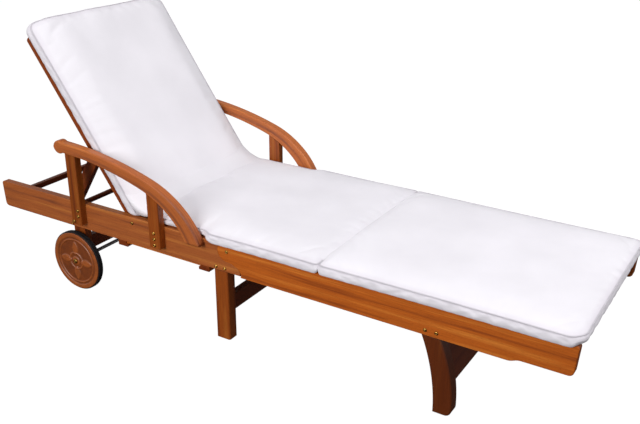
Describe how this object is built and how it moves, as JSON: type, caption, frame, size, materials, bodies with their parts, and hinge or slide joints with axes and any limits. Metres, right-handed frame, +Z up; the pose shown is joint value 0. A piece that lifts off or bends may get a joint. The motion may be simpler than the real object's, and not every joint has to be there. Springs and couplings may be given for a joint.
{
  "type": "sun lounger",
  "caption": "Wooden sun lounger: folding slatted frame, backrest on a notched prop, arched arms, wheels at the head end, sliding tray and a long pad.",
  "frame": {"origin": "on the floor, below the middle of the whole object's box", "axes": "+X towards the foot end, +Y towards the left of someone lying on it, +Z up"},
  "size_m": [2.0074, 0.684, 0.9036],
  "materials": {
    "oiled_wood": "oiled, satin",
    "bolt_brass": "satin",
    "axle_steel": "zinc plated",
    "wheel_disc": "moulded, wood brown",
    "tyre_rubber": "matt",
    "pad_fabric": "woven"
  },
  "bodies": {
    "rear_frame": {"rear_rail_right": "oiled_wood", "rear_rail_left": "oiled_wood", "mid_leg_right": "oiled_wood", "mid_leg_left": "oiled_wood", "mid_leg_stretcher": "oiled_wood", "wheel_leg_right": "oiled_wood", "wheel_leg_left": "oiled_wood", "axle_beam": "oiled_wood", "wheel_axle": "axle_steel", "axle_washers": "axle_steel", "hub_caps": "bolt_brass", "arm_right": "oiled_wood", "arm_left": "oiled_wood", "rear_arm_post_right": "oiled_wood", "rear_arm_post_left": "oiled_wood", "front_arm_post_right": "oiled_wood", "front_arm_post_left": "oiled_wood", "notch_strip_right": "oiled_wood", "notch_strip_left": "oiled_wood", "rear_cross_rail": "oiled_wood", "seat_ledge_right": "oiled_wood", "seat_ledge_left": "oiled_wood", "seat_slats": "oiled_wood", "tray_batten_rear": "oiled_wood", "tray_batten_front": "oiled_wood", "cushion_seat": "pad_fabric", "mid_leg_bolts": "bolt_brass", "wheel_leg_bolts": "bolt_brass", "arm_post_bolts": "bolt_brass", "fold_pivot_bolts": "bolt_brass", "backrest_pivot_bolts": "bolt_brass"},
    "foot_section": {"front_rail_right": "oiled_wood", "front_rail_left": "oiled_wood", "front_leg_right": "oiled_wood", "front_leg_left": "oiled_wood", "front_apron": "oiled_wood", "leg_ledge_right": "oiled_wood", "leg_ledge_left": "oiled_wood", "leg_slats": "oiled_wood", "front_leg_bolts": "bolt_brass", "cushion_leg": "pad_fabric"},
    "backrest": {"backrest_rail_right": "oiled_wood", "backrest_rail_left": "oiled_wood", "backrest_slats": "oiled_wood", "backrest_top_rail": "oiled_wood", "prop_pivot_bolts": "bolt_brass", "cushion_back": "pad_fabric"},
    "prop": {"prop_leg_right": "oiled_wood", "prop_leg_left": "oiled_wood", "prop_crossbar": "oiled_wood"},
    "tray": {"tray_slats": "oiled_wood", "tray_bearers": "oiled_wood"},
    "wheel_right": {"wheel_disc_right": "wheel_disc", "tyre_right": "tyre_rubber"},
    "wheel_left": {"wheel_disc_left": "wheel_disc", "tyre_left": "tyre_rubber"}
  },
  "joints": [
    {"name": "frame_fold", "type": "hinge", "parent": "rear_frame", "child": "foot_section", "pos_m": [-0.034, 0, 0.3], "axis": [0, -1, 0], "range_deg": [0, 90], "deforming": ["cushion_seat"]},
    {"name": "backrest_tilt", "type": "hinge", "parent": "rear_frame", "child": "backrest", "pos_m": [-0.403, 0, 0.304], "axis": [0, 1, 0], "range_deg": [-53.5, 8]},
    {"name": "prop_swing", "type": "hinge", "parent": "backrest", "child": "prop", "pos_m": [-0.57171, 0, 0.50601], "axis": [0, 1, 0], "range_deg": [-16.5, 106.5]},
    {"name": "tray_slide", "type": "slide", "parent": "rear_frame", "child": "tray", "axis": [0, 1, 0], "range_m": [-0.3, 0.3]},
    {"name": "wheel_right_spin", "type": "hinge", "parent": "rear_frame", "child": "wheel_right", "pos_m": [-0.67, -0.308, 0.104], "axis": [0, 1, 0], "continuous": true},
    {"name": "wheel_left_spin", "type": "hinge", "parent": "rear_frame", "child": "wheel_left", "pos_m": [-0.67, 0.308, 0.104], "axis": [0, 1, 0], "continuous": true}
  ],
  "couplings": [
    {"joint": "prop_swing", "follows": "backrest_tilt", "ratio": -1.98}
  ]
}
